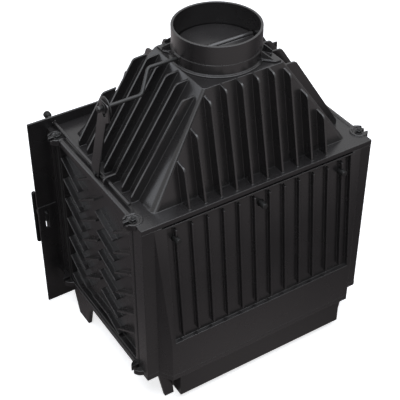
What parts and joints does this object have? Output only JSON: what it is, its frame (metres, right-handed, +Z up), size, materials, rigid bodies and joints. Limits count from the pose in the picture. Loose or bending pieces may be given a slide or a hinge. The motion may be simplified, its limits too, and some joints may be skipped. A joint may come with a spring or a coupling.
{
  "type": "fireplace insert",
  "caption": "Cast iron fireplace insert with a finned hood, 196 mm flue collar with damper, glazed door, and ash drawer.",
  "frame": {"origin": "under the middle of the whole object, at floor level", "axes": "X runs across the front, the door faces -Y, Z is up"},
  "size_m": [0.7, 0.519, 0.837],
  "materials": {
    "stove_paint": "matt heat-resistant paint",
    "fire_iron": "bare, dry and matt",
    "sheet_paint": "matt black paint",
    "dark_steel": "dark, oiled",
    "black_grip": "satin black",
    "stove_glass": "clear ceramic glass, slightly smoked",
    "rope_seal": "braided glass-fibre rope"
  },
  "bodies": {
    "stove": {"base_plate": "stove_paint", "air_box": "sheet_paint", "front_legs": "stove_paint", "rear_legs": "stove_paint", "right_side_panel": "stove_paint", "left_side_panel": "stove_paint", "back_panel": "stove_paint", "back_bolts": "dark_steel", "front_frame": "stove_paint", "hood": "stove_paint", "flue_collar": "stove_paint", "tie_rods": "dark_steel", "tie_nuts": "dark_steel", "front_plate": "stove_paint", "plate_screws": "dark_steel", "hinge_brackets": "stove_paint", "hinge_pins": "dark_steel", "grate": "fire_iron", "rear_liner": "fire_iron", "right_liner": "fire_iron", "left_liner": "fire_iron", "baffle_plate": "fire_iron", "log_guard": "fire_iron"},
    "door": {"door_frame": "stove_paint", "door_glass": "stove_glass", "door_seal": "rope_seal", "glass_clips": "dark_steel", "glass_screws": "dark_steel"},
    "handle": {"handle_pin": "dark_steel", "handle_arm": "stove_paint", "handle_grip": "black_grip", "latch_tongue": "dark_steel"},
    "damper": {"damper_plate": "stove_paint", "damper_shaft": "dark_steel", "crank_washers": "dark_steel", "crank_spring": "dark_steel", "crank_nut": "dark_steel"},
    "control": {"damper_link": "stove_paint", "link_bolt": "dark_steel", "control_rod": "stove_paint", "control_knob": "black_grip"},
    "ash_drawer": {"ash_pan": "sheet_paint", "ash_pan_knob": "black_grip"},
    "air_control": {"air_slider": "dark_steel", "air_slider_knob": "black_grip"}
  },
  "joints": [
    {"name": "door_swing", "type": "hinge", "parent": "stove", "child": "door", "pos_m": [-0.338, -0.2305, 0.3], "axis": [0, 0, -1], "range_deg": [0, 110]},
    {"name": "handle_turn", "type": "hinge", "parent": "door", "child": "handle", "pos_m": [0.3285, -0.2305, 0.275], "axis": [-1, 0, 0], "range_deg": [0, 25]},
    {"name": "control_slide", "type": "slide", "parent": "stove", "child": "control", "axis": [0, -1, 0], "range_m": [0, 0.0693]},
    {"name": "damper_turn", "type": "hinge", "parent": "stove", "child": "damper", "pos_m": [0, 0.0415, 0.784], "axis": [-1, 0, 0], "range_deg": [0, 90]},
    {"name": "drawer_slide", "type": "slide", "parent": "stove", "child": "ash_drawer", "axis": [0, -1, 0], "range_m": [0, 0.3]},
    {"name": "air_slide", "type": "slide", "parent": "ash_drawer", "child": "air_control", "axis": [-1, 0, 0], "range_m": [0, 0.016]}
  ],
  "couplings": [
    {"joint": "damper_turn", "follows": "control_slide", "rad_per_m": 22.66}
  ]
}
